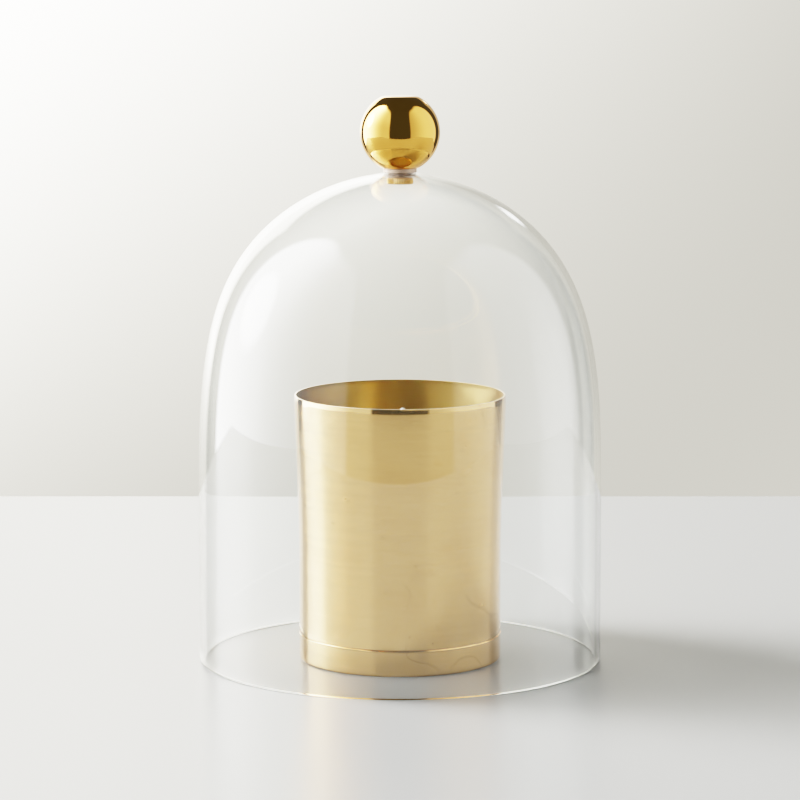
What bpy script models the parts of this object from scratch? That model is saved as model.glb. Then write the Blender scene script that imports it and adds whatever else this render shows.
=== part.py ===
"""Clear glass bell jar dome with a brass ball knob, standing over its brass candle vessel.

Units are metres, +Z up. The origin is on the table, at the centre of the dome's open rim.
The dome and its knob lift straight up, off the vessel.
"""

from math import acos, asin, atan2, cos, degrees, hypot, pi, radians, sin, tau

import bmesh
import bpy

MM = 0.001
GAP = 0.3 * MM  # clearance kept between pieces that touch or are joined
MERGE = 0.01 * MM
LARGE_STEPS = 48  # sides of a large turned piece
SMALL_STEPS = 32  # sides of a small turned piece
SHARP_ANGLE = radians(30)

# Glass dome: a straight side under a superelliptic crown, one wall thickness all over
DOME_RADIUS = 96.0 * MM
DOME_WALL = 2.5 * MM
DOME_STRAIGHT = 45.0 * MM
DOME_RISE = 187.3 * MM
SIDE_POWER = 1.79
CROWN_POWER = 4.35
DOME_STATIONS = 12
RIM_EDGE = 0.7 * MM  # radius of the fire-polished corners of the rim
CROWN_HOLE = 5.0 * MM  # radius of the drilled hole

# Ball knob, and what clamps it to the crown
BALL_RADIUS = 18.9 * MM
BALL_CENTRE = 251.2 * MM
BALL_FLAT = 17.15 * MM  # height of the flat on top, above the ball's centre
BALL_SEAT = 16.7 * MM  # depth of the seat, below the ball's centre
BALL_STATIONS = 16
STUD_RADIUS = 2.3 * MM
STUD_IN_BALL = 14.0 * MM
GASKET_RADIUS = 8.0 * MM
WASHER_RADIUS = 5.8 * MM
WASHER_HEIGHT = 0.5 * MM
NUT_RADIUS = 6.3 * MM
NUT_HEIGHT = 2.3 * MM
NUT_TEETH = 24
NUT_TOOTH = 0.35 * MM

# Brass vessel: a thin tube, flared a little at the mouth, soldered on a pressed base cup
VESSEL_HEIGHT = 126.8 * MM
VESSEL_RADIUS = 48.2 * MM
MOUTH_RADIUS = 50.4 * MM
FLARE_START = 50.0 * MM
FLARE_END = VESSEL_HEIGHT
FLARE_STATIONS = 6
VESSEL_WALL = 0.8 * MM
SEAM_HEIGHT = 12.7 * MM
BASE_THICKNESS = 1.2 * MM
BASE_EDGE = 1.2 * MM
COLLAR_HEIGHT = 5.0 * MM  # how far the base cup's stepped-in collar runs up inside the tube

# Candle
WAX_LEVEL = 110.5 * MM
WICK_RADIUS = 1.2 * MM
WICK_TIP = 119.8 * MM
WICK_LEAN = 1.5 * MM
WICK_STATIONS = 5
TAB_RADIUS = 10.0 * MM
TAB_THICKNESS = 0.6 * MM
TAB_NECK_RADIUS = 2.4 * MM
TAB_NECK_HEIGHT = 5.0 * MM

# Heights and radii that follow
BALL_SEAT_HEIGHT = BALL_CENTRE - BALL_SEAT
COLLAR_OUTER = VESSEL_RADIUS - VESSEL_WALL - GAP
COLLAR_INNER = COLLAR_OUTER - VESSEL_WALL
COLLAR_TOP = SEAM_HEIGHT + COLLAR_HEIGHT
CUP_INNER = VESSEL_RADIUS - VESSEL_WALL
LEDGE_UNDERSIDE = SEAM_HEIGHT - BASE_THICKNESS
CANDLE_FLOOR = BASE_THICKNESS + GAP


def clear_scene():
    for obj in list(bpy.data.objects):
        bpy.data.objects.remove(obj)


def new_collection(name):
    collection = bpy.data.collections.new(name)
    bpy.context.scene.collection.children.link(collection)
    return collection


def principled(name, color, roughness, metallic=0.0, transmission=0.0):
    material = bpy.data.materials.new(name)
    material.use_nodes = True
    shader = material.node_tree.nodes["Principled BSDF"]
    shader.inputs["Base Color"].default_value = (*color, 1.0)
    shader.inputs["Roughness"].default_value = roughness
    shader.inputs["Metallic"].default_value = metallic
    shader.inputs["Transmission Weight"].default_value = transmission
    return material


def body_empty(name, collection):
    """A body's own frame: on the axis that all its pieces are turned about."""
    empty = bpy.data.objects.new(name, None)
    empty.empty_display_size = DOME_RADIUS
    collection.objects.link(empty)
    return empty


def finish(obj, material, body):
    obj.data.materials.append(material)
    obj.parent = body


def arc(centre, radius, start, end, steps):
    """Points of an arc in a turned profile, as (radius, height); 0 degrees points outwards."""
    angles = [radians(start + (end - start) * i / steps) for i in range(steps + 1)]
    return [(centre[0] + radius * cos(a), centre[1] + radius * sin(a)) for a in angles]


def turned(name, points, steps, collection):
    """Turns a profile about Z. It runs down the outer side; one that starts off the axis closes."""
    edges = [(i, i + 1) for i in range(len(points) - 1)]
    if points[0][0] > 0:
        edges.append((len(points) - 1, 0))
    mesh = bpy.data.meshes.new(name)
    mesh.from_pydata([(r, 0.0, z) for r, z in points], edges, [])
    obj = bpy.data.objects.new(name, mesh)
    collection.objects.link(obj)
    screw = obj.modifiers.new("Turn", "SCREW")
    screw.axis = "Z"
    screw.angle = tau
    screw.steps = steps
    screw.render_steps = steps
    screw.use_merge_vertices = True
    screw.merge_threshold = MERGE
    screw.use_smooth_shade = True
    obj.modifiers.new("Flat where flat", "WEIGHTED_NORMAL")
    return obj


def turned_ring(name, inner, outer, low, high, collection):
    points = [(outer, high), (outer, low), (inner, low), (inner, high)]
    return turned(name, points, SMALL_STEPS, collection)


def turned_rod(name, radius, low, high, collection):
    points = [(0.0, high), (radius, high), (radius, low), (0.0, low)]
    return turned(name, points, SMALL_STEPS, collection)


def crown_point(angle, inset):
    """A point of the crown's outer face, moved inwards along its normal."""
    side, crown = 2 / SIDE_POWER, 2 / CROWN_POWER
    c, s = cos(angle), sin(angle)
    slope_r = -DOME_RADIUS * side * c ** (side - 1) * s
    slope_z = DOME_RISE * crown * s ** (crown - 1) * c
    length = hypot(slope_r, slope_z)
    radius = DOME_RADIUS * c**side - inset * slope_z / length
    height = DOME_STRAIGHT + DOME_RISE * s**crown + inset * slope_r / length
    return radius, height


def crown_line(inset):
    """One face of the crown, from the top of the straight side up to the hole."""
    hole_angle = acos((CROWN_HOLE / DOME_RADIUS) ** (SIDE_POWER / 2))
    angles = [hole_angle * i / DOME_STATIONS for i in range(1, DOME_STATIONS)]
    line = [(DOME_RADIUS - inset, DOME_STRAIGHT)]
    line += [crown_point(angle, inset) for angle in angles]
    return line + [(CROWN_HOLE, crown_point(hole_angle, inset)[1])]


def glass_dome(collection):
    rim = arc((DOME_RADIUS - RIM_EDGE, RIM_EDGE), RIM_EDGE, 0, -90, 2)
    rim += arc((DOME_RADIUS - DOME_WALL + RIM_EDGE, RIM_EDGE), RIM_EDGE, -90, -180, 2)
    points = crown_line(0.0)[::-1] + rim + crown_line(DOME_WALL)
    return turned("glass_dome", points, LARGE_STEPS, collection)


def ball_knob(collection):
    """A ball with a flat on top and a flat seat, bored from below for the stud."""
    flat = degrees(asin(BALL_FLAT / BALL_RADIUS))
    seat = degrees(-asin(BALL_SEAT / BALL_RADIUS))
    bore = STUD_RADIUS + GAP
    bore_end = BALL_SEAT_HEIGHT + STUD_IN_BALL + GAP
    points = [(0.0, BALL_CENTRE + BALL_FLAT)]
    points += arc((0.0, BALL_CENTRE), BALL_RADIUS, flat, seat, BALL_STATIONS)
    points += [(bore, BALL_SEAT_HEIGHT), (bore, bore_end), (0.0, bore_end)]
    return turned("ball_knob", points, SMALL_STEPS, collection)


def knurled_nut(high, collection, cutters):
    """A thin round nut with a serrated rim, bored through for the stud."""
    low = high - NUT_HEIGHT
    build = bmesh.new()
    bmesh.ops.create_cone(
        build,
        cap_ends=True,
        segments=2 * NUT_TEETH,
        radius1=NUT_RADIUS,
        radius2=NUT_RADIUS,
        depth=NUT_HEIGHT,
    )
    for vert in build.verts:
        half_tooth = round(atan2(vert.co.y, vert.co.x) / (pi / NUT_TEETH))
        if half_tooth % 2:
            vert.co.xy *= 1 - NUT_TOOTH / NUT_RADIUS
    mesh = bpy.data.meshes.new("knurled_nut")
    build.to_mesh(mesh)
    build.free()
    mesh.shade_smooth()
    mesh.set_sharp_from_angle(angle=SHARP_ANGLE)
    nut = bpy.data.objects.new("knurled_nut", mesh)
    nut.location.z = (low + high) / 2
    collection.objects.link(nut)
    bore = turned_rod("nut_bore", STUD_RADIUS + GAP, low - MM, high + MM, cutters)
    bore.hide_render = True
    bore.display_type = "WIRE"
    cut = nut.modifiers.new("Bore", "BOOLEAN")
    cut.operation = "DIFFERENCE"
    cut.solver = "EXACT"
    cut.object = bore
    return nut


def wall_radius(height):
    """The tube's outer radius: straight below the flare, then an easy S-curve to the mouth."""
    part = (height - FLARE_START) / (FLARE_END - FLARE_START)
    part = min(max(part, 0.0), 1.0)
    return VESSEL_RADIUS + (MOUTH_RADIUS - VESSEL_RADIUS) * part * part * (3 - 2 * part)


def wall_heights(low, high):
    """Stations down the tube between two heights, closest together in the flare."""
    flare = FLARE_END - FLARE_START
    stations = [FLARE_END - flare * i / FLARE_STATIONS for i in range(FLARE_STATIONS + 1)]
    return [high] + [height for height in stations if low < height < high] + [low]


def vessel_wall(collection):
    heights = wall_heights(SEAM_HEIGHT + GAP, VESSEL_HEIGHT)
    outer = [(wall_radius(height), height) for height in heights]
    inner = [(radius - VESSEL_WALL, height) for radius, height in outer]
    return turned("vessel_wall", outer + inner[::-1], LARGE_STEPS, collection)


def vessel_base(collection):
    """A pressed cup: a floor, a band level with the tube, and a collar stepped in to fit it."""
    points = [
        (0.0, BASE_THICKNESS),
        (CUP_INNER, BASE_THICKNESS),
        (CUP_INNER, LEDGE_UNDERSIDE),
        (COLLAR_INNER, LEDGE_UNDERSIDE),
        (COLLAR_INNER, COLLAR_TOP),
        (COLLAR_OUTER, COLLAR_TOP),
        (COLLAR_OUTER, SEAM_HEIGHT),
        (VESSEL_RADIUS, SEAM_HEIGHT),
    ]
    points += arc((VESSEL_RADIUS - BASE_EDGE, BASE_EDGE), BASE_EDGE, 0, -90, 3)
    points.append((0.0, 0.0))
    return turned("vessel_base", points, LARGE_STEPS, collection)


def wax_fill(collection):
    """The poured wax: it follows the vessel inside, and the wick and its tab down the middle."""
    side = [
        (wall_radius(height) - VESSEL_WALL - GAP, height)
        for height in wall_heights(COLLAR_TOP + GAP, WAX_LEVEL)
    ]
    foot = [
        (COLLAR_INNER - GAP, COLLAR_TOP + GAP),
        (COLLAR_INNER - GAP, LEDGE_UNDERSIDE - GAP),
        (CUP_INNER - GAP, LEDGE_UNDERSIDE - GAP),
        (CUP_INNER - GAP, CANDLE_FLOOR),
    ]
    tab_top = CANDLE_FLOOR + TAB_THICKNESS + GAP
    neck_top = CANDLE_FLOOR + TAB_NECK_HEIGHT + GAP
    core = [
        (TAB_RADIUS + GAP, CANDLE_FLOOR),
        (TAB_RADIUS + GAP, tab_top),
        (TAB_NECK_RADIUS + GAP, tab_top),
        (TAB_NECK_RADIUS + GAP, neck_top),
        (WICK_RADIUS + GAP, neck_top),
        (WICK_RADIUS + GAP, WAX_LEVEL),
    ]
    return turned("wax_fill", side + foot + core, LARGE_STEPS, collection)


def wick_tab(collection):
    """A stamped disc with a neck that is crimped on the wick."""
    disc_top = CANDLE_FLOOR + TAB_THICKNESS
    neck_top = CANDLE_FLOOR + TAB_NECK_HEIGHT
    points = [
        (TAB_NECK_RADIUS, neck_top),
        (TAB_NECK_RADIUS, disc_top),
        (TAB_RADIUS, disc_top),
        (TAB_RADIUS, CANDLE_FLOOR),
        (WICK_RADIUS + GAP, CANDLE_FLOOR),
        (WICK_RADIUS + GAP, neck_top),
    ]
    return turned("wick_tab", points, SMALL_STEPS, collection)


def wick(collection):
    """A braided wick, upright in the wax and leaning a little above it."""
    curve = bpy.data.curves.new("wick", "CURVE")
    curve.dimensions = "3D"
    curve.bevel_depth = WICK_RADIUS
    curve.bevel_resolution = 2
    curve.use_fill_caps = True
    spline = curve.splines.new("POLY")
    spline.points.add(WICK_STATIONS + 1)
    spline.points[0].co = (0.0, 0.0, CANDLE_FLOOR, 1.0)
    for station in range(WICK_STATIONS + 1):
        part = station / WICK_STATIONS
        height = WAX_LEVEL + (WICK_TIP - WAX_LEVEL) * part
        spline.points[station + 1].co = (WICK_LEAN * part * part, 0.0, height, 1.0)
    obj = bpy.data.objects.new("wick", curve)
    collection.objects.link(obj)
    return obj


def build_dome(collection, cutters):
    glass = principled("clear_glass", (0.96, 0.98, 0.97), 0.0, transmission=1.0)
    gold = principled("polished_gold_brass", (0.86, 0.62, 0.20), 0.08, metallic=1.0)
    brass = principled("turned_brass", (0.80, 0.62, 0.30), 0.25, metallic=1.0)
    clear = principled("clear_plastic", (0.93, 0.90, 0.86), 0.15, transmission=0.9)
    steel = principled("zinc_steel", (0.62, 0.61, 0.58), 0.35, metallic=1.0)

    crown_top = crown_line(0.0)[-1][1]
    crown_underside = crown_line(DOME_WALL)[-1][1]
    washer_top = crown_underside - GAP
    washer_low = washer_top - WASHER_HEIGHT
    nut_top = washer_low - GAP
    nut_low = nut_top - NUT_HEIGHT
    gasket_low = crown_top + GAP
    gasket_top = BALL_SEAT_HEIGHT - GAP
    stud_top = BALL_SEAT_HEIGHT + STUD_IN_BALL
    stud_hole = STUD_RADIUS + GAP

    lift = body_empty("dome_lift", collection)
    finish(glass_dome(collection), glass, lift)
    finish(ball_knob(collection), gold, lift)
    ring = turned_ring("knob_gasket", stud_hole, GASKET_RADIUS, gasket_low, gasket_top, collection)
    finish(ring, clear, lift)
    sleeve_outer = CROWN_HOLE - GAP
    ring = turned_ring("hole_sleeve", stud_hole, sleeve_outer, crown_underside, crown_top, collection)
    finish(ring, clear, lift)
    ring = turned_ring("inner_washer", stud_hole, WASHER_RADIUS, washer_low, washer_top, collection)
    finish(ring, clear, lift)
    finish(knurled_nut(nut_top, collection, cutters), brass, lift)
    finish(turned_rod("threaded_stud", STUD_RADIUS, nut_low, stud_top, collection), steel, lift)


def build_vessel(collection):
    brass = principled("lacquered_brass", (0.82, 0.66, 0.40), 0.22, metallic=1.0)
    amber = principled("candle_wax", (0.26, 0.17, 0.09), 0.45)
    cotton = principled("wick_cotton", (0.95, 0.94, 0.90), 0.9)
    tin = principled("tinned_steel", (0.75, 0.75, 0.74), 0.3, metallic=1.0)

    stand = body_empty("vessel_stand", collection)
    finish(vessel_wall(collection), brass, stand)
    finish(vessel_base(collection), brass, stand)
    finish(wax_fill(collection), amber, stand)
    finish(wick(collection), cotton, stand)
    finish(wick_tab(collection), tin, stand)


def main():
    clear_scene()
    parts = new_collection("bell_jar_dome")
    cutters = new_collection("cutters")
    build_dome(parts, cutters)
    build_vessel(parts)


main()
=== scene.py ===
"""Looks of the bell jar dome: turned surfaces, glass, brass, candle, stage, light and camera."""

from math import acos, asin, cos, degrees, hypot, pi, radians, sin, sqrt, tau

import bmesh
import bpy
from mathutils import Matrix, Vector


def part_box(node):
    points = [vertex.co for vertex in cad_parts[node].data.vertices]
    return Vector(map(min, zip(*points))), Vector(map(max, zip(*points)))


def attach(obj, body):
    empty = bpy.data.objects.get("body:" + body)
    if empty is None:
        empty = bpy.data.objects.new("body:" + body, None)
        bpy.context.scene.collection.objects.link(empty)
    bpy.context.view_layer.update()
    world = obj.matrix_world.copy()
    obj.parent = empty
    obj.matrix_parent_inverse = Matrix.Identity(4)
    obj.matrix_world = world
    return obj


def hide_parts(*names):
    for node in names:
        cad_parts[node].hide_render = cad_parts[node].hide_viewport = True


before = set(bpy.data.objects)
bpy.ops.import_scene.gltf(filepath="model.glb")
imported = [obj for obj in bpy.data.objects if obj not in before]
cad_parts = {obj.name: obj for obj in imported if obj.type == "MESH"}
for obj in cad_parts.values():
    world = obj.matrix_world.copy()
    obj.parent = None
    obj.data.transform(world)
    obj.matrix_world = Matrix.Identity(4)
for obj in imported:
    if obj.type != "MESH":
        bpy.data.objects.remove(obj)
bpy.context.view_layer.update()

MM = 0.001
scene = bpy.context.scene

# ---------------------------------------------------------------- sizes, from the frame

_, dome_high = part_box("glass_dome")
ball_low, ball_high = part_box("ball_knob")
_, gasket_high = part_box("knob_gasket")
sleeve_low, sleeve_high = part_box("hole_sleeve")
_, washer_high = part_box("inner_washer")
nut_low, nut_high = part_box("knurled_nut")
stud_low, stud_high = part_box("threaded_stud")
wall_low, wall_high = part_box("vessel_wall")
_, base_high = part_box("vessel_base")
wax_low, wax_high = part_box("wax_fill")
tab_low, tab_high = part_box("wick_tab")
wick_low, wick_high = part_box("wick")

GAP = 0.3 * MM  # what the CAD leaves between neighbouring pieces
DOME_WALL = 2.5 * MM
DOME_STRAIGHT = 45 * MM
SIDE_POWER = 1.79
CROWN_POWER = 4.35
CROWN_HOLE = sleeve_high.x + GAP
LIP_RADIUS = 14 * MM  # where the crown starts to rise to the hole
LIP_RISE = 0.25 * MM
VESSEL_WALL = 0.8 * MM
FLARE_START = 50 * MM
FLARE_END = 140 * MM  # above the mouth, where the flare would end
LIP_HEIGHT = 2.6 * MM
LIP_TURN = 0.3 * MM  # how far the lip turns in
SEAM_HEIGHT = wall_low.z - GAP
SEAM_GAP = 0.06 * MM

LARGE_STEPS = 192
SMALL_STEPS = 96

# ---------------------------------------------------------------- mesh tools


def smooth(part):
    """An easy S-curve from 0 to 1."""
    part = min(max(part, 0.0), 1.0)
    return part * part * (3 - 2 * part)


def arc(centre, radius, start, end, steps):
    """Points of an arc in a turned profile, as (radius, height); 0 degrees points outwards."""
    angles = [radians(start + (end - start) * i / steps) for i in range(steps + 1)]
    return [(centre[0] + radius * cos(a), centre[1] + radius * sin(a)) for a in angles]


def spread(start, end, steps):
    return [start + (end - start) * i / steps for i in range(steps + 1)]


def rounded_ring(inner, outer, low, high, edge):
    """The profile of a ring with rounded corners, running down its outer side."""
    points = arc((outer - edge, high - edge), edge, 90, 0, 6)
    points += arc((outer - edge, low + edge), edge, 0, -90, 6)
    points += arc((inner + edge, low + edge), edge, -90, -180, 6)
    points += arc((inner + edge, high - edge), edge, 180, 90, 6)
    return points


def turned(points, steps, shape=None):
    """A bmesh of a profile turned about Z. It runs down the outer side; off the axis, it closes."""
    build = bmesh.new()
    rings = []
    for radius, height in points:
        if radius == 0:
            rings.append([build.verts.new((0, 0, height))] * steps)
            continue
        ring = []
        for angle in spread(0, tau, steps)[:-1]:
            r, z = shape(radius, height, angle) if shape else (radius, height)
            ring.append(build.verts.new((r * cos(angle), r * sin(angle), z)))
        rings.append(ring)
    if points[0][0] > 0:
        rings.append(rings[0])
    for upper, lower in zip(rings, rings[1:]):
        for step in range(steps):
            after = (step + 1) % steps
            corners = [upper[step], lower[step], lower[after], upper[after]]
            corners = list(dict.fromkeys(corners))
            if len(corners) > 2:
                build.faces.new(corners)
    bmesh.ops.recalc_face_normals(build, faces=build.faces)
    return build


def new_piece(name, build, body, material, node, sharp=30):
    """Makes a smooth piece from a bmesh. It rides on its body and stands for its CAD node."""
    mesh = bpy.data.meshes.new(name)
    build.to_mesh(mesh)
    build.free()
    mesh.shade_smooth()
    mesh.set_sharp_from_angle(angle=radians(sharp))
    mesh.materials.append(material)
    piece = bpy.data.objects.new(name, mesh)
    scene.collection.objects.link(piece)
    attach(piece, body)
    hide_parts(node)
    return piece


# ---------------------------------------------------------------- node tools


def add_node(tree, kind, inputs=None, **settings):
    """Adds a node. A value that is a socket is linked, and any other is set."""
    made = tree.nodes.new(kind)
    for name, value in settings.items():
        setattr(made, name, value)
    for name, value in (inputs or {}).items():
        if isinstance(value, bpy.types.NodeSocket):
            tree.links.new(value, made.inputs[name])
        else:
            made.inputs[name].default_value = value
    return made


def calc(tree, operation, first, second=0.0, third=0.0):
    inputs = {0: first, 1: second, 2: third}
    return add_node(tree, "ShaderNodeMath", inputs, operation=operation).outputs[0]


def remap(tree, value, start, end, low=0.0, high=1.0):
    """value from start..end to low..high, easing at both ends and held beyond them."""
    inputs = {"Value": value, "From Min": start, "From Max": end, "To Min": low, "To Max": high}
    made = add_node(tree, "ShaderNodeMapRange", inputs, interpolation_type="SMOOTHSTEP")
    return made.outputs["Result"]


def mixed(tree, factor, first, second):
    """A colour between two colours."""
    made = tree.nodes.new("ShaderNodeMix")
    made.data_type = "RGBA"
    for index, value in ((0, factor), (6, first), (7, second)):
        socket = made.inputs[index]
        if isinstance(value, bpy.types.NodeSocket):
            tree.links.new(value, socket)
        elif isinstance(value, float):
            socket.default_value = value
        else:
            socket.default_value = (*value, 1.0)
    return made.outputs[2]


def own_place(tree):
    return tree.nodes.new("ShaderNodeTexCoord").outputs["Object"]


def noise(tree, scale, detail=3.0, stretch=(1, 1, 1)):
    """Noise over the object's own coordinates, in cycles per metre, as a 0..1 value."""
    stretched = add_node(tree, "ShaderNodeMapping", {"Vector": own_place(tree), "Scale": stretch})
    inputs = {"Vector": stretched.outputs[0], "Scale": scale, "Detail": detail}
    return add_node(tree, "ShaderNodeTexNoise", inputs).outputs["Fac"]


def bump(tree, height, distance):
    inputs = {"Height": height, "Distance": distance}
    return add_node(tree, "ShaderNodeBump", inputs).outputs["Normal"]


def new_material(name):
    """A material with a bare Principled shader; returns the material, its tree and the shader."""
    material = bpy.data.materials.new(name)
    material.use_nodes = True
    tree = material.node_tree
    return material, tree, tree.nodes["Principled BSDF"]


# ---------------------------------------------------------------- materials

BURNISH = 0.3  # how much of its roughness a burnished lip keeps
WATER_MARK = 0.35  # how strong a dried mark is beside a pit
STAIN = 0.55  # how dark a stain is beside the tarnish


def brass(name, color, tarnish, roughness, lines, line_depth, brushed=0.0, burnished=None,
          wear=0.0, lacquer=0.0):
    """Polished brass: faint tarnish clouds, and turning lines round the axis, lines per metre.

    Above the height of burnished it is rubbed brighter. Wear adds small pits and dried water marks.
    """
    material, tree, shader = new_material(name)
    clouds = noise(tree, 45, 4)
    tint = mixed(tree, remap(tree, clouds, 0.42, 0.75), color, tarnish)
    if wear:
        cells = add_node(tree, "ShaderNodeTexVoronoi", {"Vector": own_place(tree), "Scale": 160})
        pits = calc(tree, "MULTIPLY", remap(tree, cells.outputs["Distance"], 0.05, 0.12, 1.0, 0.0),
                    remap(tree, noise(tree, 25, 2), 0.5, 0.62))
        off_line = calc(tree, "ABSOLUTE", calc(tree, "SUBTRACT", noise(tree, 28, 1), 0.55))
        dried = calc(tree, "MULTIPLY", remap(tree, off_line, 0.004, 0.014, 1.0, 0.0),
                     remap(tree, noise(tree, 18, 1), 0.48, 0.6))
        pits = calc(tree, "MULTIPLY", pits, wear)
        dried = calc(tree, "MULTIPLY", dried, WATER_MARK * wear)
        tint = mixed(tree, calc(tree, "ADD", pits, dried), tint, [STAIN * c for c in tarnish])
    tree.links.new(tint, shader.inputs["Base Color"])
    shader.inputs["Metallic"].default_value = 1.0
    streaks = noise(tree, lines, 2, stretch=(0.02, 0.02, 1))
    smear = noise(tree, 90, 5)
    rough = calc(tree, "ADD", remap(tree, streaks, 0.2, 0.8, roughness * 0.8, roughness * 1.2),
                 remap(tree, smear, 0.55, 0.8, 0.0, roughness * 0.5))
    if burnished:
        height = add_node(tree, "ShaderNodeSeparateXYZ", {0: own_place(tree)}).outputs["Z"]
        kept = remap(tree, height, burnished - 0.5 * MM, burnished + 0.5 * MM, 1.0, BURNISH)
        rough = calc(tree, "MULTIPLY", rough, kept)
    tree.links.new(rough, shader.inputs["Roughness"])
    tree.links.new(bump(tree, streaks, line_depth), shader.inputs["Normal"])
    if lacquer:
        shader.inputs["Coat Weight"].default_value = lacquer
        shader.inputs["Coat Roughness"].default_value = 0.12
    if brushed:
        shader.inputs["Anisotropic"].default_value = brushed
        shader.inputs["Anisotropic Rotation"].default_value = 0.25
        round_z = add_node(tree, "ShaderNodeTangent", direction_type="RADIAL", axis="Z")
        tree.links.new(round_z.outputs[0], shader.inputs["Tangent"])
    return material


def dome_glass():
    material, _, shader = new_material("dome_glass")
    shader.inputs["Base Color"].default_value = (0.985, 0.995, 0.99, 1.0)
    shader.inputs["Roughness"].default_value = 0.0
    shader.inputs["IOR"].default_value = 1.5
    shader.inputs["Transmission Weight"].default_value = 1.0
    return material


def clear_plastic():
    """Soft vinyl: clear, but a little milky and flesh-toned in the thickness of the rings."""
    material, tree, shader = new_material("clear_plastic")
    tint = mixed(tree, noise(tree, 300, 3), (0.80, 0.58, 0.43), (0.88, 0.68, 0.53))
    tree.links.new(tint, shader.inputs["Base Color"])
    shader.inputs["Roughness"].default_value = 0.22
    shader.inputs["IOR"].default_value = 1.49
    shader.inputs["Transmission Weight"].default_value = 0.3
    tree.links.new(bump(tree, noise(tree, 900, 2), 0.02 * MM), shader.inputs["Normal"])
    return material


def candle_wax():
    material, tree, shader = new_material("candle_wax")
    # The wax's dark tone is painted shade: darkened well below a pale wax for the shaded mouth of
    # the vessel.
    tint = mixed(tree, noise(tree, 60, 3), (0.24, 0.175, 0.09), (0.30, 0.225, 0.12))
    tree.links.new(tint, shader.inputs["Base Color"])
    shader.inputs["Roughness"].default_value = 0.42
    shader.inputs["Subsurface Weight"].default_value = 0.3
    shader.inputs["Subsurface Scale"].default_value = 4 * MM
    tree.links.new(bump(tree, noise(tree, 120, 3), 0.15 * MM), shader.inputs["Normal"])
    return material


def wick_cotton():
    material, tree, shader = new_material("wick_cotton")
    tint = mixed(tree, noise(tree, 2500, 2), (0.86, 0.84, 0.78), (0.98, 0.97, 0.94))
    tree.links.new(tint, shader.inputs["Base Color"])
    shader.inputs["Roughness"].default_value = 0.85
    shader.inputs["Coat Weight"].default_value = 0.6  # the film of wax it is primed with
    shader.inputs["Coat Roughness"].default_value = 0.25
    tree.links.new(bump(tree, noise(tree, 6000, 2), 0.05 * MM), shader.inputs["Normal"])
    return material


def plated(name, color, roughness):
    """Bright plated steel with a fine grain."""
    material, tree, shader = new_material(name)
    tint = mixed(tree, noise(tree, 400, 3), color, [0.85 * c for c in color])
    tree.links.new(tint, shader.inputs["Base Color"])
    shader.inputs["Metallic"].default_value = 1.0
    grain = remap(tree, noise(tree, 1500, 2), 0.3, 0.7, roughness * 0.8, roughness * 1.2)
    tree.links.new(grain, shader.inputs["Roughness"])
    return material


# ---------------------------------------------------------------- dome


def crown_point(angle, inset):
    """A point of the crown's outer face, moved inwards along its normal, with the lip's rise."""
    radius, rise = dome_high.x, dome_crown - DOME_STRAIGHT
    side, crown = 2 / SIDE_POWER, 2 / CROWN_POWER
    c, s = cos(angle), sin(angle)
    slope_r = -radius * side * c ** (side - 1) * s
    slope_z = rise * crown * s ** (crown - 1) * c
    length = hypot(slope_r, slope_z)
    r = radius * c**side - inset * slope_z / length
    z = DOME_STRAIGHT + rise * s**crown + inset * slope_r / length
    lip = LIP_RISE * smooth((LIP_RADIUS - r) / (LIP_RADIUS - 1.6 * CROWN_HOLE))
    return r, z + lip


# The crown's formula peaks on the axis, a little above the hole's edge where the CAD box ends.
hole_angle = acos((CROWN_HOLE / dome_high.x) ** (SIDE_POWER / 2))
dome_crown = DOME_STRAIGHT + (dome_high.z - DOME_STRAIGHT) / sin(hole_angle) ** (2 / CROWN_POWER)


def crown_line(inset, steps):
    """One face of the crown, from the top of the straight side up to the hole's edge."""
    angles = [hole_angle * part**1.7 for part in spread(0, 1, steps)[1:]]
    line = [crown_point(angle, inset) for angle in angles]
    return line[:-1] + [(CROWN_HOLE, line[-1][1])]


def hand_blown(radius, height, angle):
    """The slow, shallow waves that a blown wall keeps."""
    fade = smooth(height / (20 * MM)) * smooth((dome_high.z - height) / (20 * MM))
    wave = sin(3 * angle + 40 * height) + 0.7 * sin(5 * angle - 65 * height + 1.3)
    wave += 0.5 * sin(2 * angle + 95 * height + 0.4)
    return radius - 0.05 * MM * fade * (wave + 2.2), height


def glass_dome(material):
    edge = 0.7 * MM
    outer = crown_line(0.0, 72)
    inner = crown_line(DOME_WALL, 72)
    straight = spread(DOME_STRAIGHT, edge, 10)
    radius = dome_high.x
    points = outer[::-1]
    points += [(radius, height) for height in straight[:-1]]
    points += arc((radius - edge, edge), edge, 0, -90, 8)
    points += arc((radius - DOME_WALL + edge, edge), edge, -90, -180, 8)
    points += [(radius - DOME_WALL, height) for height in straight[-2::-1]]
    points += inner
    build = turned(points, LARGE_STEPS, hand_blown)
    new_piece("glass_dome_surface", build, "dome", material, "glass_dome", 50)


def ball_knob(material):
    """A ball whose top is turned flat with a soft edge, on a flat seat, bored for the stud."""
    radius = ball_high.x
    seat = ball_low.z
    seat_drop = 16.7 * MM
    centre = seat + seat_drop
    flat = ball_high.z - centre
    blend = 0.9 * MM
    points = []
    for angle in spread(90, -degrees(asin(seat_drop / radius)), 72):
        r, z = radius * cos(radians(angle)), radius * sin(radians(angle))
        under = min(max(0.5 + 0.5 * (flat - z) / blend, 0.0), 1.0)
        z = flat + (z - flat) * under - blend * under * (1 - under)
        points.append((max(r, 0.0) if angle < 90 else 0.0, centre + z))
    bore = stud_high.x + GAP
    bore_end = stud_high.z + GAP
    points += [(bore + 0.4 * MM, seat), (bore, seat + 0.4 * MM), (bore, bore_end), (0.0, bore_end)]
    build = turned(points, SMALL_STEPS)
    new_piece("ball_knob_surface", build, "dome", material, "ball_knob")


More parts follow.
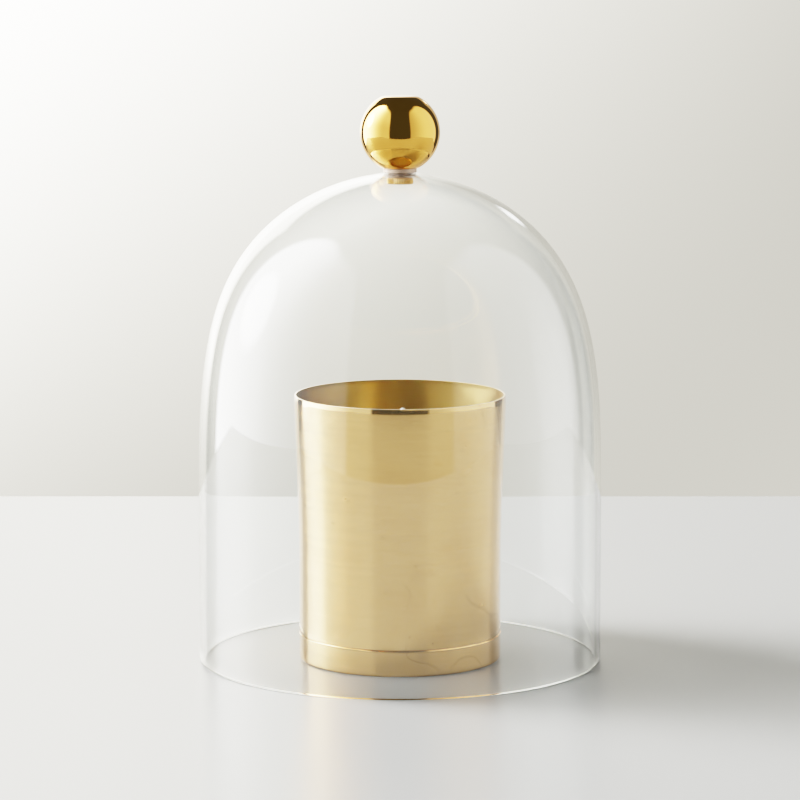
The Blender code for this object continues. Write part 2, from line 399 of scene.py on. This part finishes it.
def clear_rings(material):
    """The grooved gasket under the ball, the sleeve in the hole and the washer under the crown."""
    hole = stud_high.x + 0.2 * MM
    lip = dome_high.z + LIP_RISE
    low, high = lip + 0.05 * MM, ball_low.z - 0.03 * MM
    round_edge = 0.45 * MM
    outer = gasket_high.x - round_edge
    points = arc((outer, high - round_edge), round_edge, 90, -50, 8)
    points += arc((outer, low + round_edge), round_edge, 50, -90, 8)
    points += [(hole, low), (hole, high)]
    build = turned(points, SMALL_STEPS)
    new_piece("knob_gasket_surface", build, "dome", material, "knob_gasket")
    rings = (
        ("hole_sleeve", sleeve_high.x, sleeve_low.z, sleeve_high.z),
        ("inner_washer", washer_high.x, nut_high.z + 0.05 * MM, washer_high.z),
    )
    for node, outer, low, high in rings:
        build = turned(rounded_ring(hole, outer, low, high, 0.2 * MM), SMALL_STEPS)
        new_piece(node + "_surface", build, "dome", material, node)


def knurled_nut(material):
    """A thin nut: chamfered faces, and a rim cut in fine upright serrations."""
    outer, teeth, depth = nut_high.x, 36, 0.32 * MM
    chamfer = 0.45 * MM
    bore = stud_high.x + 0.1 * MM

    def serrated(radius, height, angle):
        if radius < outer - 0.01 * MM:
            return radius, height
        tooth = abs((angle * teeth / tau) % 1 - 0.5) * 2
        return radius - depth * tooth, height

    points = [
        (outer - depth - chamfer, nut_high.z),
        (outer - depth, nut_high.z - chamfer * 0.6),
        (outer, nut_high.z - chamfer),
        (outer, nut_low.z + chamfer),
        (outer - depth, nut_low.z + chamfer * 0.6),
        (outer - depth - chamfer, nut_low.z),
        (bore + 0.3 * MM, nut_low.z),
        (bore, nut_low.z + 0.3 * MM),
        (bore, nut_high.z - 0.3 * MM),
        (bore + 0.3 * MM, nut_high.z),
    ]
    build = turned(points, teeth * 8, serrated)
    new_piece("knurled_nut_surface", build, "dome", material, "knurled_nut", 25)


def threaded_stud(material):
    """A screw with a real helical thread and chamfered ends."""
    crest, depth, pitch = stud_high.x, 0.35 * MM, 0.8 * MM
    end = 0.6 * MM

    def threaded(radius, height, angle):
        if radius < crest:
            return radius, height
        turn = (height / pitch - angle / tau) % 1
        return crest - depth * (1 - abs(2 * turn - 1)), height

    side = spread(stud_high.z - end, stud_low.z + end, 200)
    points = [(0.0, stud_high.z), (crest - depth - 0.2 * MM, stud_high.z)]
    points += [(crest, height) for height in side]
    points += [(crest - depth - 0.2 * MM, stud_low.z), (0.0, stud_low.z)]
    build = turned(points, 32, threaded)
    new_piece("threaded_stud_surface", build, "dome", material, "threaded_stud")


# ---------------------------------------------------------------- vessel and candle


def wall_radius(height):
    """The tube's outer radius: straight below the flare, which is still opening at the mouth."""
    length = FLARE_END - FLARE_START
    part = smooth((height - FLARE_START) / length) / smooth((wall_high.z - FLARE_START) / length)
    turned_in = max(0.0, (height - wall_high.z) / LIP_HEIGHT + 1) ** 2
    return base_high.x + (wall_high.x - base_high.x) * part - LIP_TURN * turned_in


def vessel_wall(outside, inside):
    """A thin tube, its lip turned in a little; its inner face keeps its turning lines, and the
    darker brass there is painted shade.
    """
    edge = 0.2 * MM
    seam = SEAM_HEIGHT + SEAM_GAP
    heights = spread(wall_high.z - edge, seam + edge, 120)
    mouth = wall_radius(wall_high.z)
    points = arc((mouth - edge, wall_high.z - edge), edge, 90, 0, 5)
    points += [(wall_radius(height), height) for height in heights[1:]]
    points += [(base_high.x - edge, seam), (base_high.x - VESSEL_WALL, seam)]
    points += [(wall_radius(height) - VESSEL_WALL, height) for height in heights[::-1]]
    points += arc((mouth - VESSEL_WALL + edge, wall_high.z - edge), edge, 180, 90, 5)[1:]
    build = turned(points, LARGE_STEPS)
    piece = new_piece(
        "vessel_wall_surface", build, "vessel", outside, "vessel_wall"
    )
    piece.data.materials.append(inside)
    # The inner faces take the darker inside brass: painted shade for the vessel's deep inside.
    for face in piece.data.polygons:
        centre = face.center
        if hypot(centre.x, centre.y) < wall_radius(centre.z) - 0.6 * VESSEL_WALL:
            face.material_index = 1


def vessel_base(material):
    """The pressed base cup, with the thin uneven bead of solder at the seam."""
    outer = base_high.x
    inner = outer - VESSEL_WALL
    collar = inner - GAP
    collar_inner = collar - VESSEL_WALL
    floor = tab_low.z - GAP
    seam = SEAM_HEIGHT - SEAM_GAP
    bead, proud, edge = 0.45 * MM, 0.22 * MM, 1.2 * MM

    def soldered(radius, height, angle):
        if radius <= outer:
            return radius, height
        uneven = 1 + 0.35 * sin(7 * angle + 0.6) + 0.25 * sin(17 * angle + 2.0)
        drift = 0.18 * MM * sin(2 * angle + 0.8) + 0.1 * MM * sin(5 * angle)
        return outer + (radius - outer) * max(uneven, 0.2), height + drift

    points = [(0.0, floor), (inner - 0.5 * MM, floor), (inner, floor + 0.5 * MM)]
    points += [(inner, seam - 1.2 * MM), (collar_inner, seam - 1.0 * MM)]
    points += [(collar_inner, base_high.z), (collar, base_high.z), (collar, seam)]
    points += [(outer - 0.1 * MM, seam)]
    for part in spread(0, 1, 8):
        points.append((outer + 1e-6 + proud * sin(pi * part), seam - 0.05 * MM - 2 * bead * part))
    points += [(outer, seam - 0.1 * MM - 2 * bead)]
    points += [(outer, height) for height in spread(seam - 2 * MM, edge, 6)[:-1]]
    points += arc((outer - edge, edge), edge, 0, -90, 8)
    points.append((0.0, 0.0))
    build = turned(points, LARGE_STEPS, soldered)
    new_piece("vessel_base_surface", build, "vessel", material, "vessel_base")


def wax_fill(material):
    """Poured wax: it climbs a little where it meets the brass and the wick."""
    gap = 0.1 * MM
    bore = wick_high.y + 0.15 * MM
    collar_top = base_high.z + GAP
    collar_inner = base_high.x - 2 * VESSEL_WALL - 2 * GAP
    cup_inner = base_high.x - VESSEL_WALL - GAP
    tab_side = tab_high.x + GAP
    neck = 2.7 * MM
    side = spread(wax_high.z, collar_top, 40)
    outer = [(wall_radius(height) - VESSEL_WALL - gap, height) for height in side]
    edge = outer[0][0]
    top = []
    for part in spread(0.0, 1.0, 30):
        radius = bore + (edge - bore) * part
        climb = max(0.0, 1 - (edge - radius) / (3 * MM)) ** 2
        climb = max(climb, max(0.0, 1 - (radius - bore) / (2.5 * MM)) ** 2)
        top.append((radius, wax_high.z - 0.8 * MM * (1 - climb)))
    ledge = wall_low.z - 1.8 * MM
    tab_top = tab_low.z + 0.9 * MM
    points = outer
    points += [(collar_inner, collar_top), (collar_inner, ledge)]
    points += [(cup_inner, ledge), (cup_inner, wax_low.z)]
    points += [(tab_side, wax_low.z), (tab_side, tab_top)]
    points += [(neck, tab_top), (neck, tab_high.z + GAP)]
    points += [(bore, tab_high.z + GAP)]
    points += top[:-1]
    build = turned(points, LARGE_STEPS)
    new_piece("wax_fill_surface", build, "vessel", material, "wax_fill")


def wick_tab(material):
    """A stamped disc with a crimped neck."""
    hole = wick_high.y + 0.1 * MM
    neck = 2.4 * MM
    disc_top = tab_low.z + 0.6 * MM

    def crimped(radius, height, angle):
        if height > disc_top + 2 * MM and radius > hole:
            return radius * (1 - 0.06 * (1 + cos(4 * angle)) / 2), height
        return radius, height

    points = [(neck - 0.3 * MM, tab_high.z), (neck, tab_high.z - 0.3 * MM)]
    points += [(neck, height) for height in spread(tab_high.z - 0.6 * MM, disc_top + MM, 6)]
    points += arc((neck + 0.8 * MM, disc_top + 0.8 * MM), 0.8 * MM, 180, 270, 6)
    points += arc((tab_high.x - 0.3 * MM, tab_low.z + 0.3 * MM), 0.3 * MM, 90, -90, 8)
    points += [(hole, tab_low.z), (hole, tab_high.z)]
    build = turned(points, SMALL_STEPS, crimped)
    new_piece("wick_tab_surface", build, "vessel", material, "wick_tab")


def wick(material):
    """A braided cotton wick that leans a little above the wax, with a blunt trimmed tip."""
    radius, lean = wick_high.y, wick_high.x - wick_high.y
    height = wick_high.z - wick_low.z
    strands, pitch = 8, 3.2 * MM
    build = bmesh.new()
    rings = []
    for part in spread(0, 1, 260):
        z = wick_low.z + height * part
        above = max(0.0, (z - wax_high.z) / (wick_high.z - wax_high.z))
        blunt = min(1.0, (wick_high.z - z) / (0.7 * MM))
        reach = radius * (0.55 + 0.45 * sqrt(blunt * (2 - blunt)))
        ring = []
        for angle in spread(0, tau, 32)[:-1]:
            one_way = abs(sin(strands / 2 * angle + pi * z / pitch))
            other_way = abs(sin(strands / 2 * angle - pi * z / pitch))
            r = reach * (0.86 + 0.14 * max(one_way, other_way))
            centre = lean * above * above
            ring.append(build.verts.new((centre + r * cos(angle), r * sin(angle), z)))
        rings.append(ring)
    for lower, upper in zip(rings, rings[1:]):
        for step in range(32):
            after = (step + 1) % 32
            build.faces.new([lower[step], lower[after], upper[after], upper[step]])
    build.faces.new(rings[0][::-1])
    build.faces.new(rings[-1])
    bmesh.ops.recalc_face_normals(build, faces=build.faces)
    new_piece("wick_surface", build, "vessel", material, "wick", 60)


# ---------------------------------------------------------------- stage, light and camera

FLOOR_BACK = 0.447
FLOOR_FRONT = -0.88
FLOOR_SIDE = 1.3
FLOOR_COLOR = (0.35, 0.35, 0.345)
FLOOR_ROUGHNESS, FLOOR_GLOSS = 0.28, 0.07

CAMERA_PLACE = (0.0, -1.74, 0.379)
CAMERA_DOWN = radians(8.34)
CAMERA_LENS = 166.5

PANEL_MIDDLE = radians(80.5)  # azimuths are from the camera's side, positive to the right
PANEL_HALF = radians(49.5)
PANEL_TOP = radians(61)
PANEL_SOFTNESS = 0.18
RIGHT_PANEL_SHORTER = radians(6)
CORE_AZIMUTH, CORE_HEIGHT = radians(-108), radians(20)
CORE_HALF_WIDTH, CORE_HALF_HEIGHT = radians(13), radians(12)
CORE_RADIANCE = 28.0
LEFT_COLOR, RIGHT_COLOR = (1.0, 1.0, 0.98), (1.0, 1.0, 0.975)
# a ramp is its start and end, then its value at each
LEFT_AROUND = (radians(-112), radians(-48), 2.8, 0.3)  # exponents of the left panel's radiance
LEFT_UP = (0.2, 0.75, 0.0, 0.35)
RIGHT_AROUND = (radians(30), radians(90), 0.8, 1.9)
WALL_EDGE = radians(147)
WALL_TOP = radians(28)
WALL_SOFTNESS = radians(1.2)
WALL_SIDES, WALL_LEVELS = (-0.11, 0.16), (-0.17, -0.02)  # the glow is held beyond these
GLOW_START, GLOW_SIDE, GLOW_LEVEL = 1.30, -12.7, 12.5
GLOW_SIDE_SIDE, GLOW_SIDE_LEVEL, GLOW_LEVEL_LEVEL = 16.7, -61.3, 22.5
WALL_BRIGHTEST = 7.0
BACKDROP_BRIGHTEST = 2.3  # behind glass, which would bend its brightest corner into the crown
WINDOW_AZIMUTH, WINDOW_HEIGHT, WINDOW_HALF = radians(162), radians(16.5), radians(2)
WINDOW_RADIANCE = (8.0, 8.0, 7.8)
ROOM_RADIANCE = (0.085, 0.11, 0.135)
BACKDROP_COLOR = (1.0, 0.96, 0.82)


def build_floor():
    """A plain pale table top with a soft gloss."""
    build = bmesh.new()
    bmesh.ops.create_grid(build, x_segments=1, y_segments=1, size=1.0)
    for vert in build.verts:
        vert.co.x *= FLOOR_SIDE
        vert.co.y = FLOOR_BACK if vert.co.y > 0 else FLOOR_FRONT
    mesh = bpy.data.meshes.new("floor")
    build.to_mesh(mesh)
    build.free()
    material, _, shader = new_material("floor")
    shader.inputs["Base Color"].default_value = (*FLOOR_COLOR, 1.0)
    shader.inputs["Roughness"].default_value = FLOOR_ROUGHNESS
    shader.inputs["Specular IOR Level"].default_value = FLOOR_GLOSS
    floor = bpy.data.objects.new("floor", mesh)
    mesh.materials.append(material)
    scene.collection.objects.link(floor)


def product(tree, *values):
    result = values[0]
    for value in values[1:]:
        result = calc(tree, "MULTIPLY", result, value)
    return result


def held(tree, value, low, high):
    return calc(tree, "MINIMUM", calc(tree, "MAXIMUM", value, low), high)


def colored(tree, color, strength):
    made = add_node(tree, "ShaderNodeVectorMath", {0: color, 3: strength}, operation="SCALE")
    return made.outputs[0]


def side_panels(tree, azimuth, height, z):
    """Two rounded oblongs that reach below the table: where they are, as 0..1, and their light."""
    on_right = calc(tree, "GREATER_THAN", azimuth, 0.0)
    shorter = calc(tree, "MULTIPLY", on_right, RIGHT_PANEL_SHORTER / 2)
    sideways = calc(tree, "SUBTRACT", calc(tree, "ABSOLUTE", azimuth), PANEL_MIDDLE)
    sideways = calc(tree, "ADD", sideways, shorter)
    sideways = calc(tree, "DIVIDE", sideways, calc(tree, "SUBTRACT", PANEL_HALF, shorter))
    upwards = calc(tree, "DIVIDE", calc(tree, "MAXIMUM", height, 0.0), PANEL_TOP)
    outline = calc(tree, "ADD", product(tree, *[sideways] * 4), product(tree, *[upwards] * 3))
    inside = remap(tree, outline, 1 - PANEL_SOFTNESS, 1 + PANEL_SOFTNESS, 1.0, 0.0)

    around, up = remap(tree, azimuth, *LEFT_AROUND), remap(tree, z, *LEFT_UP)
    left = calc(tree, "EXPONENT", calc(tree, "ADD", around, up))
    across = calc(tree, "SUBTRACT", azimuth, CORE_AZIMUTH)
    across = calc(tree, "DIVIDE", across, CORE_HALF_WIDTH)
    above = calc(tree, "SUBTRACT", height, CORE_HEIGHT)
    above = calc(tree, "DIVIDE", above, CORE_HALF_HEIGHT)
    core = calc(tree, "ADD", product(tree, across, across), product(tree, above, above))
    core = remap(tree, core, 0.5, 1.5, 1.0, 0.0)
    left = calc(tree, "MULTIPLY_ADD", core, CORE_RADIANCE, left)
    right = remap(tree, azimuth, *RIGHT_AROUND)
    light = mixed(
        tree, on_right, colored(tree, LEFT_COLOR, left), colored(tree, RIGHT_COLOR, right)
    )
    return inside, light


def wall_glow(tree, x, z):
    """The wall's radiance, brightest at its upper left: a quadratic in the exponent."""
    side = held(tree, x, *WALL_SIDES)
    level = held(tree, z, *WALL_LEVELS)
    terms = (
        (side, GLOW_SIDE),
        (level, GLOW_LEVEL),
        (product(tree, side, side), GLOW_SIDE_SIDE),
        (product(tree, side, level), GLOW_SIDE_LEVEL),
        (product(tree, level, level), GLOW_LEVEL_LEVEL),
    )
    power = GLOW_START
    for term, weight in terms:
        power = calc(tree, "MULTIPLY_ADD", term, weight, power)
    return calc(tree, "EXPONENT", power)


def small_window(tree, azimuth, height):
    """A small square bright spot, as 0..1."""
    sides = []
    for value, middle in ((azimuth, WINDOW_AZIMUTH), (height, WINDOW_HEIGHT)):
        distance = calc(tree, "ABSOLUTE", calc(tree, "SUBTRACT", value, middle))
        sides.append(remap(tree, distance, WINDOW_HALF * 0.5, WINDOW_HALF * 1.5, 1.0, 0.0))
    return product(tree, *sides)


def build_world():
    """Two tall soft panels beside the camera, a pale back wall and a small window, in a dim room.

    The left panel has a hot core. This studio lights the object and is what it reflects. The
    camera sees only the wall's glow, on all sides, and so do rays that have gone through clear
    pieces alone, where the glow is held to a limit.
    """
    world = bpy.data.worlds.new("studio")
    world.use_nodes = True
    scene.world = world
    tree = world.node_tree
    direction = add_node(tree, "ShaderNodeTexCoord").outputs["Generated"]
    split = add_node(tree, "ShaderNodeSeparateXYZ", {0: direction})
    x, y, z = (split.outputs[i] for i in range(3))
    azimuth = calc(tree, "ARCTAN2", x, calc(tree, "MULTIPLY", y, -1.0))
    height = calc(tree, "ARCSINE", z)

    panel, panels = side_panels(tree, azimuth, height, z)
    glow = wall_glow(tree, x, z)
    wall = colored(tree, BACKDROP_COLOR, calc(tree, "MINIMUM", glow, WALL_BRIGHTEST))
    around = calc(tree, "ABSOLUTE", azimuth)
    soft = WALL_SOFTNESS
    behind = product(tree, remap(tree, around, WALL_EDGE - soft, WALL_EDGE + soft),
                     remap(tree, height, WALL_TOP - soft, WALL_TOP + soft, 1.0, 0.0))
    studio = mixed(tree, behind, ROOM_RADIANCE, wall)
    studio = mixed(tree, panel, studio, panels)
    studio = mixed(tree, small_window(tree, azimuth, height), studio, WINDOW_RADIANCE)

    path = tree.nodes.new("ShaderNodeLightPath")
    bounced = calc(tree, "ADD", path.outputs["Glossy Depth"], path.outputs["Diffuse Depth"])
    straight = calc(tree, "LESS_THAN", bounced, 0.5)
    through = product(tree, path.outputs["Is Transmission Ray"], straight)
    limited = calc(tree, "MINIMUM", glow, BACKDROP_BRIGHTEST)
    lit = mixed(tree, through, studio, colored(tree, BACKDROP_COLOR, limited))
    backdrop = colored(tree, BACKDROP_COLOR, glow)
    lit = mixed(tree, path.outputs["Is Camera Ray"], lit, backdrop)
    tree.links.new(lit, tree.nodes["Background"].inputs["Color"])


def build_camera():
    """A long lens a little above the knob, tilted down."""
    data = bpy.data.cameras.new("camera")
    data.sensor_width = 36
    data.lens = CAMERA_LENS
    camera = bpy.data.objects.new("camera", data)
    camera.location = CAMERA_PLACE
    camera.rotation_euler = (pi / 2 - CAMERA_DOWN, 0.0, 0.0)
    scene.collection.objects.link(camera)
    scene.camera = camera


def main():
    scene.view_settings.view_transform = "Filmic"
    scene.view_settings.look = "High Contrast"
    build_camera()
    build_floor()
    build_world()

    knob_brass = brass("knob_brass", (0.86, 0.42, 0.09), (0.78, 0.36, 0.07), 0.05,
                       lines=900, line_depth=0.004 * MM)
    nut_brass = brass("nut_brass", (0.80, 0.50, 0.22), (0.70, 0.40, 0.16), 0.18,
                      lines=2500, line_depth=0.02 * MM)
    outside = brass("vessel_outside", (0.88, 0.545, 0.205), (0.84, 0.50, 0.18), 0.18,
                    lines=600, line_depth=0.003 * MM, brushed=0.6,
                    burnished=wall_high.z - LIP_HEIGHT, wear=0.7, lacquer=0.8)
    # A darker copy of the vessel's brass for its inner face: painted shade for the deep inside.
    inside = brass("vessel_inside_painted_shade", (0.55, 0.37, 0.13), (0.46, 0.30, 0.10), 0.34,
                   lines=2500, line_depth=0.012 * MM, brushed=0.85)
    clear = clear_plastic()

    glass_dome(dome_glass())
    ball_knob(knob_brass)
    clear_rings(clear)
    knurled_nut(nut_brass)
    threaded_stud(plated("stud_steel", (0.62, 0.61, 0.58), 0.3))
    vessel_wall(outside, inside)
    vessel_base(outside)
    wax_fill(candle_wax())
    wick(wick_cotton())
    wick_tab(plated("tab_tin", (0.75, 0.75, 0.74), 0.28))


main()
